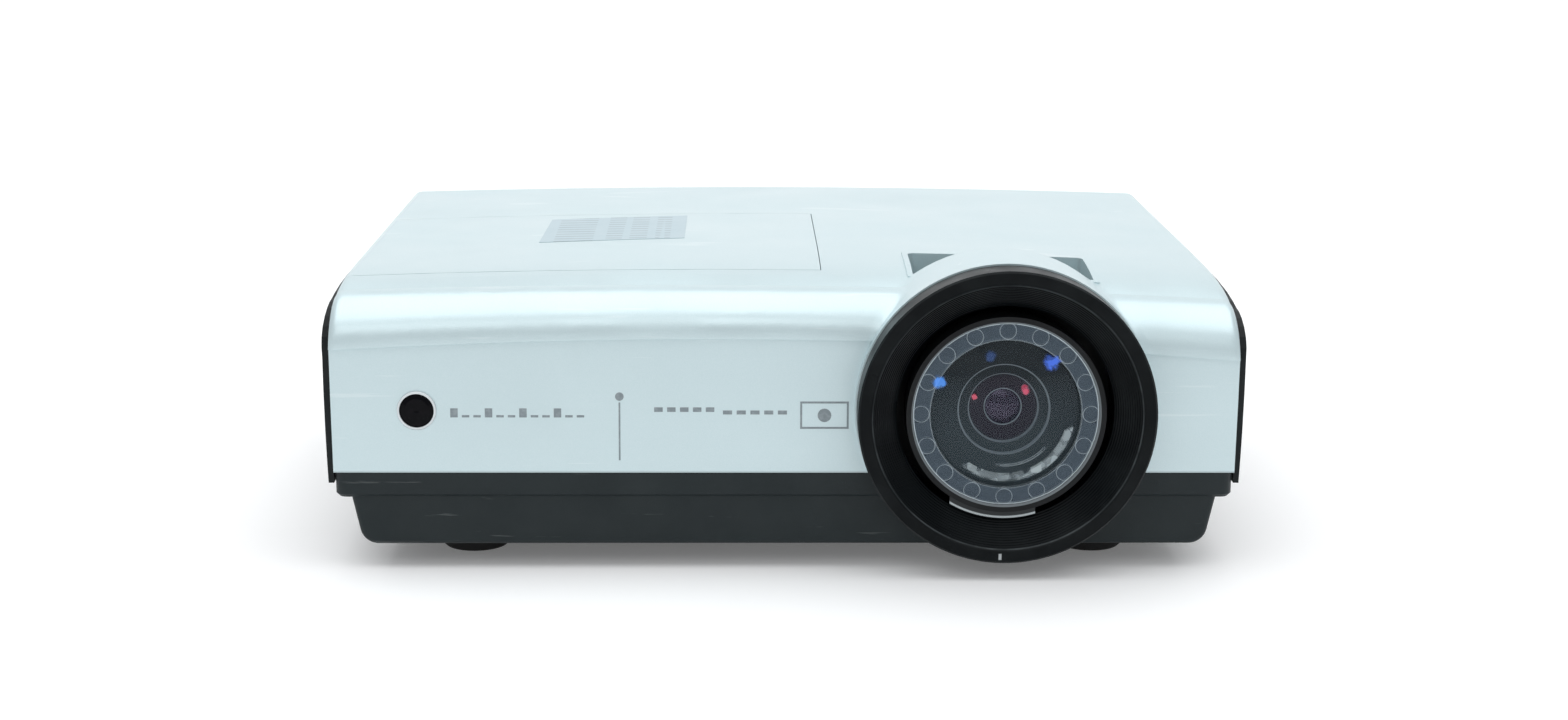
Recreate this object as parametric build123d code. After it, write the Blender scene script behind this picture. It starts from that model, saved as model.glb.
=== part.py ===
from build123d import *
import math
import os

# A short-throw data projector in millimetres. +X is the right-hand side seen from the front,
# -Y is the front, +Z is up, and the feet stand on Z = 0. Depths are counted backward from the
# bottom edge of the front face.

# ---- driving dimensions ----
FRONT_Y = -108.0          # bottom edge of the front face
BODY_DEPTH = 230.0        # front face to the back of the cover
FLOOR_GAP = 9.0           # table to the underside of the base tray
BAND_BOTTOM_Z = 26.4      # where the tub meets the wider band
COVER_Z = 35.6            # where the cover meets the base tray
SKIRT_HALF = 158.1        # half width at the cover's lower edge
FRONT_HALF = 158.9        # half width at the front of the top
REAR_HALF = 155.8         # half width at the back of the top
SIDE_HALF = 161.4         # half width over the bulging side panels
WALL = 2.5
GAP = 0.3                 # clearance between separate curved parts

# The cover's side edge rises from the crease over a quarter-round shoulder, then eases on to the
# nearly level top. A crown lifts the middle above the corners, and a tilt lifts the left corner
# and drops the right one.
CREASE_DEPTH = 1.6        # lip of the shoulder over the front face
CREASE_Z = 77.4           # height of that lip at the corners
CREASE_CROWN = 5.8
CREASE_TILT = 1.8
CREASE_LIP = 0.15         # flat edge of the lip
FACE_LEAN = 2.5           # how far the front face leans back up to the crease
SHOULDER_END = 21.0
SHOULDER_Z = 95.0
SHOULDER_CROWN = 3.4
SHOULDER_TILT = 1.45
TOP_Z = 99.0              # height that the top eases toward
TOP_EASE = 15.0           # depth over which most of that rise happens
TOP_CROWN = 3.8
TILT_FADE = 40.0
LEVEL_START = 80.0        # from here the top is straight to the back
TOP_END_Z = 99.5
REAR_CROWN = 2.4
EDGE_R = 4.0
REAR_CORNER_R = 6.0

LENS_X = 76.3
LENS_Z = 58.3
COLLAR_R = 52.0
COLLAR_FRONT = -2.0
COLLAR_END = 31.0
COLLAR_ROOT_R = 8.0
COLLAR_BEAD = 0.35        # the collar's front rim stands this much proud
HOOD_R = 51.8
HOOD_FRONT = -14.0
HOOD_WAIST_R = 42.0
HOOD_BORE_R = 39.5
WEB_DEPTH = 23.0          # where the hood joins the focus sleeve
SLEEVE_END = 58.0
MOUTH_R = 47.4
CONE_R = 38.0
SLEEVE_R = 30.0
SLEEVE_BORE_R = 27.0
TUBE_BORE_R = 22.05
CELL_R = 34.8
GLASS_R = 32.3
DOME_R = 26.5

POCKET_LEFT = 45.8
POCKET_RIGHT = 110.6
POCKET_BACK = 62.0
POCKET_FLOOR_Z = 74.0
POCKET_CORNER_R = 2.5
POCKET_LIP = 0.6          # the pocket's rim stands this much proud of the top

DOOR_RIGHT = 13.2
DOOR_FRONT = 36.0
DOOR_BACK = 152.0
PANEL_DROP = 2.6          # side openings stay this far inside the cover's edge
PANEL_THICK = 2.8
PANEL_FOOT_THICK = 1.9   # thinner at the bottom, where it passes the band
PANEL_BOTTOM_Z = 31.0

IR_X = -128.7
IR_Z = 57.6
IR_R = 6.0
DOOR_TAB_X = -150.6
DOOR_SCREW_DEPTH = 70.0
DOOR_SCREW_Z = 78.0

LAMP_DEPTH = 109.0        # centre line of the light path from the lamp to the engine
LAMP_Z = 54.0
KEYBOARD_DEPTH = 216.0

STUD_R = 4.0
WHEEL_R = 13.0
FOOT_PLACES = {"left": (-112.0, 34.0), "right": (112.0, 34.0), "rear": (0.0, 192.0)}
BOSS_PLACES = [(-132.0, 22.0), (132.0, 22.0), (-132.0, 212.0), (132.0, 212.0)]
MOUNT_SPACING_X = 180.0
MOUNT_SPACING_Y = 110.0
MOUNT_CENTRE_DEPTH = 113.0
MOUNT_HOLE_R = 1.65

PANEL_INNER = 226.9
PANEL_OUTER = 229.0
BOARD_Z = 40.0            # underside of the main board
PORT_Z = 49.0
JACK_X = (-100.0, -86.0, -72.0)
JACK_R = 4.2
VGA_X = (-46.0, -8.0)
HDMI_X = 22.0
USB_X = 45.0
LAN_X = 68.0
INLET_X = 112.0
INLET_Z = 54.0
PANEL_CUTS = [
    (VGA_X[0], PORT_Z, 31.4, 13.0),
    (VGA_X[1], PORT_Z, 31.4, 13.0),
    (HDMI_X, PORT_Z, 15.8, 6.6),
    (USB_X, PORT_Z, 12.8, 11.6),
    (LAN_X, PORT_Z, 16.8, 14.2),
    (INLET_X, INLET_Z, 28.0, 20.4),
]
REAR_IR_X = -124.0
LED_X = (-64.0, -54.0, -44.0)
LED_Z = 74.0
BUTTON_R = 4.0
BUTTON_Z = 74.0
BUTTON_X = {"power": -28.0, "source": -12.0, "menu": 4.0, "up": 20.0, "down": 36.0}


# ---- placing helpers ----
def at(depth):
    return FRONT_Y + depth


def block(x0, x1, d0, d1, z0, z1):
    centre = Pos((x0 + x1) / 2, at((d0 + d1) / 2), (z0 + z1) / 2)
    return centre * Box(x1 - x0, d1 - d0, z1 - z0)


def rod_x(depth, z, r, x0, x1):
    return Pos((x0 + x1) / 2, at(depth), z) * Rot(0, 90, 0) * Cylinder(r, x1 - x0)


def rod_y(x, z, r, d0, d1):
    return Pos(x, at((d0 + d1) / 2), z) * Rot(90, 0, 0) * Cylinder(r, d1 - d0)


def rod_z(x, depth, r, z0, z1):
    return Pos(x, at(depth), (z0 + z1) / 2) * Cylinder(r, z1 - z0)


def turned(points, x=LENS_X, z=LENS_Z):
    """Revolve an outline of (radius, depth) points about a front-to-back axis."""
    outline = Polyline([(r, at(depth)) for r, depth in points], close=True)
    return Pos(x, 0, z) * revolve(make_face(outline), Axis.Y)


def on_axis(shape):
    return Pos(LENS_X, 0, LENS_Z) * shape


def slab_side(points, x0, x1):
    """A prism along X with an outline of (depth, z) points."""
    outline = Polyline([(at(depth), z) for depth, z in points], close=True)
    return Pos(x0, 0, 0) * extrude(Plane.YZ * make_face(outline), x1 - x0)


# ---- the cover's outer form ----
def section_plane(depth):
    return Plane(origin=(0, at(depth), 0), x_dir=(1, 0, 0), z_dir=(0, -1, 0))


def top_half_width(depth):
    taper = max(0.0, depth - SHOULDER_END) / (BODY_DEPTH - SHOULDER_END)
    return FRONT_HALF - (FRONT_HALF - REAR_HALF) * taper


def shoulder_shape(degrees, drop=0.0):
    """Depth, edge height, crown and tilt at an angle round the quarter-round shoulder."""
    angle = math.radians(degrees)
    back = 1 - math.cos(angle)
    start = CREASE_DEPTH + drop
    depth = start + (SHOULDER_END - start) * back
    z = CREASE_Z + (SHOULDER_Z - drop - CREASE_Z) * math.sin(angle)
    crown = CREASE_CROWN + (SHOULDER_CROWN - CREASE_CROWN) * back
    tilt = CREASE_TILT + (SHOULDER_TILT - CREASE_TILT) * back
    return depth, z, crown, tilt


def top_shape(depth):
    """Depth, edge height, crown and tilt of the top behind the shoulder."""
    if depth >= BODY_DEPTH:
        return depth, TOP_END_Z, REAR_CROWN, 0.0
    left = math.exp(-(depth - SHOULDER_END) / TOP_EASE)
    z = TOP_Z - (TOP_Z - SHOULDER_Z) * left
    crown = TOP_CROWN - (TOP_CROWN - SHOULDER_CROWN) * left
    tilt = SHOULDER_TILT * math.exp(-(depth - SHOULDER_END) / TILT_FADE)
    return depth, z, crown, tilt


def cover_section(shape, inset=0.0, hump=False):
    depth, edge_z, crown, tilt = shape
    half = top_half_width(depth) - inset
    low = SKIRT_HALF - inset
    z = edge_z - inset
    bottom = COVER_Z - max(0.0, inset) * 2
    edges = [
        Line((-low, bottom), (low, bottom)),
        Line((low, bottom), (half, z - tilt)),
        ThreePointArc((half, z - tilt), (0, z + crown), (-half, z + tilt)),
        Line((-half, z + tilt), (-low, bottom)),
    ]
    face = Sketch() + make_face(edges)
    corners = face.vertices().sort_by(Axis.Y)[-2:]
    face = fillet(corners, EDGE_R - min(inset, WALL))
    if hump:
        disc = Pos(LENS_X, LENS_Z) * Circle(COLLAR_R)
        upper = Pos(LENS_X, LENS_Z + COLLAR_R / 2) * Rectangle(4 * COLLAR_R, COLLAR_R)
        face = face + (disc & upper)
        roots = [v for v in face.vertices() if is_collar_root(v)]
        face = fillet(roots, COLLAR_ROOT_R)
    return section_plane(depth) * face


def is_collar_root(vertex):
    reach = math.hypot(vertex.X - LENS_X, vertex.Y - LENS_Z)
    return abs(reach - COLLAR_R) < 0.05 and vertex.Y > LENS_Z + 5


def shoulder_form(inset=0.0, hump=False):
    start = CREASE_DEPTH + inset
    shrink = (SHOULDER_END - start) / (SHOULDER_END - CREASE_DEPTH)
    sections = []
    for degrees in range(0, 91, 15):
        depth, z, crown, tilt = shoulder_shape(degrees)
        shape = (SHOULDER_END - (SHOULDER_END - depth) * shrink, z, crown, tilt)
        sections.append(cover_section(shape, inset, hump))
    return loft(sections)


def top_form(inset=0.0, hump=False):
    collar_part = [top_shape(depth) for depth in (SHOULDER_END, 26.0, COLLAR_END)]
    ease_part = [top_shape(depth) for depth in (COLLAR_END, 36.0, 43.0, 52.0, 65.0, LEVEL_START)]
    level_part = [top_shape(LEVEL_START), top_shape(BODY_DEPTH)]
    level_part[1] = (BODY_DEPTH - inset, *level_part[1][1:])
    collar = loft([cover_section(shape, inset, hump) for shape in collar_part])
    ease = loft([cover_section(shape, inset) for shape in ease_part])
    level = loft([cover_section(shape, inset) for shape in level_part])
    if inset == 0:
        rear_edges = level.faces().sort_by(Axis.Y)[-1].edges()
        uprights = [edge for edge in rear_edges if abs(edge.center().X) > 150 and edge.length > 20]
        level = fillet(uprights, REAR_CORNER_R)
    return collar + ease + level


def cover_form(inset=0.0, hump=False):
    return shoulder_form(inset, hump) + top_form(inset, hump)


# ---- top cover and lamp door ----
def face_recess():
    """Everything in front of the leaning face and under the crease line."""
    lean = FACE_LEAN / (CREASE_Z - COVER_Z)
    low, high = COVER_Z - 15, CREASE_Z + 20
    over = 175.0
    reach = over / FRONT_HALF
    face_low, face_high = lean * (low - COVER_Z), lean * (high - COVER_Z)
    ahead = [(-20, low), (face_low, low), (face_high, high), (-20, high)]
    middle = CREASE_Z + CREASE_CROWN - CREASE_LIP
    end = middle - CREASE_CROWN * reach ** 2
    slope = CREASE_TILT * reach
    under = [
        Line((-over, low), (over, low)),
        Line((over, low), (over, end - slope)),
        ThreePointArc((over, end - slope), (0, middle), (-over, end + slope)),
        Line((-over, end + slope), (-over, low)),
    ]
    below = extrude(section_plane(-20) * make_face(under), -30)
    return slab_side(ahead, -over, over) & below


def side_outline(side, grow=0.0):
    """The side opening seen square on, as (depth, z). It follows the cover's edge."""
    drop = PANEL_DROP + GAP - grow
    points = [(2.9 - grow, 20), (222 + grow, 20), (222 + grow, TOP_END_Z - drop)]
    for depth in (LEVEL_START, 52.0, 36.0, 26.0):
        _, z, _, tilt = top_shape(depth)
        points.append((depth, z - side * tilt - drop))
    for degrees in range(90, -1, -15):
        depth, z, _, tilt = shoulder_shape(degrees, drop)
        points.append((depth, z - side * tilt))
    return points


def side_cut(side):
    reach = sorted((side * 150, side * 170))
    return slab_side(side_outline(side, GAP), *reach)


def door_zone(gap):
    return block(-170, DOOR_RIGHT - gap, DOOR_FRONT + gap, DOOR_BACK - gap, 80, 110)


def finger_pocket():
    left, right = POCKET_LEFT - 2, POCKET_RIGHT + 2
    walls = block(left, right, COLLAR_END - 2, POCKET_BACK + 2, POCKET_FLOOR_Z, 112)
    shell = (walls - pocket_hollow(POCKET_FLOOR_Z + 2)) & cover_form(-POCKET_LIP)
    shell -= rod_y(LENS_X, LENS_Z, SLEEVE_R + 1.2, 20, POCKET_BACK - 1)
    return shell - rod_y(LENS_X, LENS_Z, SLEEVE_BORE_R + 1, POCKET_BACK - 2, POCKET_BACK + 4)


def pocket_hollow(floor_z):
    hollow = block(POCKET_LEFT, POCKET_RIGHT, COLLAR_END, POCKET_BACK, floor_z, 113)
    rear_corners = hollow.edges().filter_by(Axis.Z).group_by(Axis.Y)[-1]
    return fillet(rear_corners, POCKET_CORNER_R)


def door_ledge():
    """A rim under the lamp door's three inner edges."""
    rim = block(-150, DOOR_RIGHT + 4, DOOR_FRONT - 4, DOOR_BACK + 4, 80, 110)
    rim -= block(-171, DOOR_RIGHT - 3, DOOR_FRONT + 3, DOOR_BACK - 3, 79, 111)
    seat = rim & cover_form(WALL + 0.2)
    root = (rim - door_zone(0)) & cover_form(WALL - 0.2)
    return (seat + root) - cover_form(WALL + 1.9)


def cover_posts():
    inner = cover_form(WALL - 0.2)
    posts = Part()
    for x, depth in BOSS_PLACES:
        post = rod_z(x, depth, 3.5, 40, 105) - rod_z(x, depth, 1.5, 39, 54)
        posts += post & inner
    return posts


def top_cover():
    cover = cover_form(0.0, hump=True)
    blank = cover_section((COLLAR_FRONT, CREASE_Z - GAP, CREASE_CROWN, CREASE_TILT))
    cover += extrude(blank, COLLAR_FRONT - CREASE_DEPTH)
    cover -= face_recess()
    collar = rod_y(LENS_X, LENS_Z, COLLAR_R + COLLAR_BEAD, COLLAR_FRONT, 4)
    cover += collar & block(0, 170, -5, 5, COVER_Z, 120)
    cover -= cover_form(WALL)
    cover -= rod_y(LENS_X, LENS_Z, COLLAR_R - WALL, COLLAR_FRONT - 2, COLLAR_END - WALL)
    cover -= rod_y(LENS_X, LENS_Z, SLEEVE_R + 1.2, 20, COLLAR_END + 5)
    cover -= side_cut(1) + side_cut(-1)
    cover -= block(-150, 150, 224, 232, 20, 92)
    cover -= door_zone(0)
    cover -= pocket_hollow(80)
    cover += finger_pocket()
    cover += door_ledge()
    cover += cover_posts()
    cover -= rod_y(IR_X, IR_Z, IR_R + 0.9, -2, 8)
    return cover


def door_skin():
    skin = cover_form() - cover_form(WALL)
    return (skin & door_zone(GAP)) - side_cut(-1)


def lamp_door():
    door = door_skin()
    x0, x1 = DOOR_TAB_X, DOOR_TAB_X + 2.5
    tab = block(x0, x1, DOOR_SCREW_DEPTH - 7, DOOR_SCREW_DEPTH + 7, 72, 105) & cover_form(0.5)
    slot = block(x0 - 1, x1 + 1.5, DOOR_SCREW_DEPTH - 2.2, DOOR_SCREW_DEPTH + 2.2, 70, DOOR_SCREW_Z)
    slot += rod_x(DOOR_SCREW_DEPTH, DOOR_SCREW_Z, 2.2, x0 - 1, x1 + 1.5)
    return door + tab - slot


def door_screw():
    depth, z = DOOR_SCREW_DEPTH, DOOR_SCREW_Z
    head = rod_x(depth, z, 4.5, DOOR_TAB_X - 3.1, DOOR_TAB_X - 0.1)
    head -= block(DOOR_TAB_X - 4, DOOR_TAB_X - 2, depth - 0.6, depth + 0.6, z - 5, z + 5)
    return head + rod_x(depth, z, 2.0, DOOR_TAB_X - 0.1, DOOR_TAB_X + 9)


def door_label():
    corners = [(-91.8, 88.0), (-36.9, 93.5), (-36.7, 146.5), (-90.4, 140.5)]
    outline = Polyline([(x, at(depth)) for x, depth in corners], close=True)
    prism = Pos(0, 0, 80) * extrude(make_face(outline), 30)
    return (cover_form(-0.15) - cover_form()) & prism


# ---- base tray and side panels ----
def tray_section(half_top, half_bottom, z_top, z_bottom, corner):
    points = [(-half_bottom, z_bottom), (half_bottom, z_bottom)]
    points += [(half_top, z_top), (-half_top, z_top)]
    face = Sketch() + make_face(Polyline(points, close=True))
    return fillet(face.vertices().sort_by(Axis.Y)[:2], corner)


def along_y(sketch, d0, d1):
    solid = extrude(section_plane(d0) * sketch, d1 - d0)
    shift = at(d0) - solid.bounding_box().min.Y
    return Pos(0, shift, 0) * solid


def base_tray():
    tub = along_y(tray_section(152.5, 148.6, 27, FLOOR_GAP, 6.5), 1.2, 226.5)
    tub = fillet(tub.edges().filter_by(Axis.X).group_by(Axis.Z)[0], 2.0)
    band_plan = RectangleRounded(2 * SKIRT_HALF - 0.4, 229.0, 4.0)
    band = Pos(0, at(114.8), BAND_BOTTOM_Z) * extrude(band_plan, COVER_Z - BAND_BOTTOM_Z)
    band = chamfer(band.edges().group_by(Axis.Z)[0], 1.2)
    tray = tub + band
    tray -= along_y(tray_section(150.2, 146.4, 30, FLOOR_GAP + WALL, 4.5), 3.7, 224)
    tray -= block(-154.7, 154.7, 2.8, 226.8, BAND_BOTTOM_Z + WALL, COVER_Z + 1)
    tray += tray_bosses()
    tray -= rod_y(LENS_X, LENS_Z, HOOD_WAIST_R + 1.5, -2, 26)
    tray += block(-146, -141, DOOR_SCREW_DEPTH - 6, DOOR_SCREW_DEPTH + 6, FLOOR_GAP + 2, 84)
    tray -= rod_x(DOOR_SCREW_DEPTH, DOOR_SCREW_Z, 2.02, -147, -138)
    tray -= tray_holes()
    return tray


def tray_bosses():
    bosses = Part()
    for x, depth in FOOT_PLACES.values():
        bosses += rod_z(x, depth, 9.0, FLOOR_GAP, 24)
    for x, depth in BOSS_PLACES:
        bosses += rod_z(x, depth, 4.5, FLOOR_GAP, 40)
    for x, depth in mount_places():
        bosses += rod_z(x, depth, 5.0, FLOOR_GAP, 22)
    return bosses


def tray_holes():
    holes = Part()
    for x, depth in FOOT_PLACES.values():
        holes += rod_z(x, depth, STUD_R + 0.05, 5, 30)
    for x, depth in BOSS_PLACES:
        holes += rod_z(x, depth, 1.6, 5, 45)
        holes += rod_z(x, depth, 3.2, 5, 14)
    for x, depth in mount_places():
        holes += rod_z(x, depth, MOUNT_HOLE_R, 5, 20)
    for index in range(9):
        x = -70 + 6 * index
        holes += block(x, x + 2.6, 18, 50, 5, 15)
    return holes


def mount_places():
    half_x, half_y = MOUNT_SPACING_X / 2, MOUNT_SPACING_Y / 2
    depths = (MOUNT_CENTRE_DEPTH - half_y, MOUNT_CENTRE_DEPTH + half_y)
    return [(x, depth) for x in (-half_x, half_x) for depth in depths]


def panel_section(side, depth, shift):
    """A curved skin: a long gentle arc up to the widest point, then a tighter one over the top."""
    widest_z = 76.0
    top_z = 104.0
    edges = []
    for inset in (0.0, PANEL_THICK):
        low = (side * (SIDE_HALF - 1.0 - min(inset, PANEL_FOOT_THICK)), PANEL_BOTTOM_Z)
        between = (side * (SIDE_HALF - 0.3 - inset - shift / 2), 52.0)
        wide = (side * (SIDE_HALF - inset - shift), widest_z)
        over = (side * (SIDE_HALF - 0.9 - inset - shift), 92.0)
        top = (side * (SIDE_HALF - 4.2 - inset - shift), top_z)
        edges.append((low, between, wide, over, top))
    outer, inner = edges
    outline = [
        ThreePointArc(*outer[:3]),
        ThreePointArc(*outer[2:]),
        Line(outer[4], inner[4]),
        ThreePointArc(*reversed(inner[2:])),
        ThreePointArc(*reversed(inner[:3])),
        Line(inner[0], outer[0]),
    ]
    return section_plane(depth) * make_face(outline)


def side_panel(side):
    """A panel that narrows toward the back with the cover."""
    narrowing = FRONT_HALF - REAR_HALF
    skin = loft([panel_section(side, 0.0, 0.0), panel_section(side, 224.0, narrowing)], ruled=True)
    return skin & slab_side(side_outline(side), *sorted((side * 150, side * 170)))


def louvres(x0, x1, d0, d1, z0, rows):
    slots = Part()
    for row in range(rows):
        z = z0 + 5.0 * row
        slots += block(x0, x1, d0, d1, z, z + 2.4)
        slots -= block(x0, x1, (d0 + d1) / 2 - 1.2, (d0 + d1) / 2 + 1.2, z, z + 2.4)
    return slots


def right_side_panel():
    return side_panel(1) - louvres(150, 170, 112, 184, 44, 8)


def left_side_panel():
    panel = side_panel(-1) - louvres(-170, -150, 84, 156, 44, 8)
    return panel - rod_x(DOOR_SCREW_DEPTH, DOOR_SCREW_Z, 5.5, -170, -150)


def rear_panel():
    panel = block(-149.7, 149.7, PANEL_INNER, PANEL_OUTER, COVER_Z + 0.2, 91.7)
    for x, z, wide, tall in PANEL_CUTS:
        panel -= block(x - wide / 2, x + wide / 2, 220, 232, z - tall / 2, z + tall / 2)
    for x in JACK_X:
        panel -= rod_y(x, PORT_Z, JACK_R + GAP, 220, 232)
    for x in BUTTON_X.values():
        panel -= rod_y(x, BUTTON_Z, BUTTON_R + GAP, 220, 232)
    for x in LED_X:
        panel -= rod_y(x, LED_Z, 1.8, 220, 232)
    panel -= rod_y(REAR_IR_X, PORT_Z, IR_R + GAP, 220, 232)
    return panel


def cover_screws():
    screws = []
    for x, depth in BOSS_PLACES:
        slot = block(x - 2, x + 2, depth - 0.5, depth + 0.5, 10, 12.2)
        head = rod_z(x, depth, 3.0, 11.0, 14.0) - slot
        screws.append(head + rod_z(x, depth, 1.48, 14.0, 52))
    return Compound(children=screws)


def ir_window():
    outline = [(0, 0.6), (IR_R * 0.7, 0.75), (IR_R, 1.2), (IR_R, 6.5), (0, 6.5)]
    return turned(outline, IR_X, IR_Z)


def ir_bezel():
    inner, outer = IR_R + 0.05, IR_R + 0.85
    outline = [(inner, 0.7), (outer - 0.25, 0.7), (outer, 1.0), (outer, 4.0), (inner, 4.0)]
    return turned(outline, IR_X, IR_Z)


# ---- lens ----
def lens_hood():
    steps = 12
    outline = [(HOOD_R - 0.7, HOOD_FRONT), (HOOD_R, HOOD_FRONT + 0.7), (HOOD_R, -2.5)]
    outline += [(HOOD_WAIST_R, -2.5), (HOOD_WAIST_R, WEB_DEPTH), (SLEEVE_R - 2, WEB_DEPTH)]
    outline += [(SLEEVE_R - 2, WEB_DEPTH - 3), (HOOD_BORE_R, WEB_DEPTH - 3), (HOOD_BORE_R, -3.6)]
    outline += [(CONE_R, -4.4)]
    for index in range(steps):
        r = CONE_R + (MOUTH_R - 0.8 - CONE_R) * (index + 1) / steps
        depth = -4.4 + (HOOD_FRONT + 5.2) * (index + 1) / steps
        before = -4.4 + (HOOD_FRONT + 5.2) * (index + 0.35) / steps
        outline += [(r - 0.25, before), (r, depth)]
    outline += [(MOUTH_R, HOOD_FRONT)]
    return turned(outline)


def focus_sleeve():
    sleeve = rod_y(LENS_X, LENS_Z, SLEEVE_R, WEB_DEPTH, SLEEVE_END)
    sleeve -= rod_y(LENS_X, LENS_Z, SLEEVE_BORE_R, WEB_DEPTH - 1, SLEEVE_END + 1)
    groove_length = SLEEVE_END - COLLAR_END - 6
    groove = Pos(SLEEVE_R, at((SLEEVE_END + COLLAR_END) / 2), 0) * Box(1.6, groove_length, 1.7)
    cuts = [on_axis(Rot(0, 360 / 48 * index, 0) * groove) for index in range(48)]
    return sleeve - cuts


def lens_tube():
    outline = [(TUBE_BORE_R, 10), (SLEEVE_BORE_R - 0.07, 10), (SLEEVE_BORE_R - 0.07, 95)]
    outline += [(34, 95), (34, 101.8), (TUBE_BORE_R, 101.8)]
    tube = turned(outline)
    hole = Pos(30.5, at(98), 0) * Rot(90, 0, 0) * Cylinder(1.6, 12)
    holes = [on_axis(Rot(0, 45 + 90 * index, 0) * hole) for index in range(4)]
    return tube - holes


def lens_cell():
    outline = [(CELL_R, -8), (CELL_R, 5), (22, 5), (22, 60), (20, 60), (20, 3), (30.5, 3)]
    outline += [(30.5, -4.4), (GLASS_R + 0.1, -4.4), (GLASS_R + 0.1, -7.4), (GLASS_R + 0.6, -8)]
    return turned(outline)


def cap_arc(apex, rim_r, rim):
    """Half of a spherical cap's outline, from its apex on the axis to its rim."""
    height = rim - apex
    radius = (rim_r ** 2 + height ** 2) / (2 * height)
    middle = apex + radius - math.sqrt(radius ** 2 - (rim_r / 2) ** 2)
    return ThreePointArc((0, at(apex)), (rim_r / 2, at(middle)), (rim_r, at(rim)))


def front_lens():
    rim, inside, apex, thick = -6.6, -4.5, -9.4, 2.2
    edges = [
        Line((0, at(apex + thick)), (0, at(apex))),
        cap_arc(apex, DOME_R, rim),
        Line((DOME_R, at(rim)), (GLASS_R, at(rim))),
        Line((GLASS_R, at(rim)), (GLASS_R, at(inside))),
        Line((GLASS_R, at(inside)), (DOME_R - 0.4, at(inside))),
        cap_arc(apex + thick, DOME_R - 0.4, inside),
    ]
    lens = on_axis(revolve(make_face(edges), Axis.Y))
    notch = Pos(29.9, 0, 0) * Rot(90, 0, 0) * Cylinder(3.0, 0.6) + Pos(31.6, 0, 0) * Box(3.4, 0.6, 6.0)
    notch = Pos(0, at(rim), 0) * notch
    return lens - [on_axis(Rot(0, 22.5 * index, 0) * notch) for index in range(16)]


def inner_barrel():
    outline = [(30.3, -1.5), (30.3, 2.8), (19.8, 2.8), (19.8, 24), (17.8, 24), (17.8, 10)]
    outline += [(5, 10), (5, 8), (6.4, 8), (6.4, 5.2), (12.4, 4), (12.4, 3)]
    outline += [(16, 2), (16, 0.8), (26, -1.5)]
    return turned(outline)


def centre_lens():
    edges = [
        cap_arc(3.8, 6.3, 5.6),
        Line((0, at(3.8)), (0, at(7.9))),
        Line((0, at(7.9)), (6.3, at(7.9))),
        Line((6.3, at(7.9)), (6.3, at(5.6))),
    ]
    return on_axis(revolve(make_face(edges), Axis.Y))


def retaining_arc():
    ring = turned([(CELL_R + 0.05, -6.6), (37.4, -6.6), (37.4, -5.4), (CELL_R + 0.05, -5.4)])
    wedge = Pos(LENS_X - 4, at(-6), LENS_Z - 36) * Box(30, 10, 30)
    return ring & wedge


def rear_lens():
    return turned([(0, 86.5), (12, 87.2), (21.9, 89.5), (21.9, 94), (0, 94)])


# ---- light engine ----
def light_engine_case():
    case = block(40, 115, 102, 150, 30, 86) - block(42.5, 112.5, 104.5, 147.5, 32.5, 83.5)
    case -= rod_y(LENS_X, LENS_Z, TUBE_BORE_R, 100, 106)
    case -= block(38, 44, LAMP_DEPTH - 4.6, LAMP_DEPTH + 4.6, LAMP_Z - 4.1, LAMP_Z + 4.1)
    case -= block(LENS_X - 12, LENS_X + 12, 146, 152, LENS_Z - 9, LENS_Z + 9)
    case += block(44, 52, 106, 146, 11.5, 30) + block(103, 111, 106, 146, 11.5, 30)
    return case


def light_tunnel():
    tunnel = block(21, 66, LAMP_DEPTH - 4.4, LAMP_DEPTH + 4.4, LAMP_Z - 3.9, LAMP_Z + 3.9)
    return tunnel - block(20, 67, LAMP_DEPTH - 3.2, LAMP_DEPTH + 3.2, LAMP_Z - 2.7, LAMP_Z + 2.7)


def colour_wheel():
    axis_z = LAMP_Z - 15
    wheel = rod_x(LAMP_DEPTH, axis_z, 20, 15, 16.2) + rod_x(LAMP_DEPTH, axis_z, 8, 13.2, 19.6)
    return wheel - rod_x(LAMP_DEPTH, axis_z, 2.05, 12, 21)


def colour_wheel_motor():
    axis_z = LAMP_Z - 15
    motor = rod_x(LAMP_DEPTH, axis_z, 9.5, 20, 29) + rod_x(LAMP_DEPTH, axis_z, 2.0, 12, 21)
    bracket = block(24, 29, LAMP_DEPTH - 12, LAMP_DEPTH + 12, 11.5, axis_z - 4)
    return motor + bracket


def dmd_board():
    board = block(44, 111, 152, 153.6, 24, 84)
    chip = block(LENS_X - 10, LENS_X + 10, 149.5, 152, LENS_Z - 7, LENS_Z + 7)
    return board + chip


def dmd_heat_sink():
    sink = block(LENS_X - 20, LENS_X + 20, 153.7, 157, LENS_Z - 20, LENS_Z + 20)
    for index in range(9):
        x = LENS_X - 20 + 4.8 * index
        sink += block(x, x + 1.6, 157, 170, LENS_Z - 20, LENS_Z + 20)
    return sink


def lamp_housing():
    housing = block(-126, -42, 66, 152, 24, 84) - block(-124, -44, 68, 150, 26, 82)
    housing -= rod_x(LAMP_DEPTH, LAMP_Z, 25, -46, -40)
    housing -= block(-128, -122, 84, 134, 34, 74)
    for x0, x1 in ((-124, -104), (-66, -44)):
        housing += block(x0, x1, 72, 88, 11.5, 24)
        housing += block(x0, x1, 130, 146, 11.5, 24)
    grip = block(-100, -68, 100, 118, 81, 85)
    return housing - grip


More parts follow.
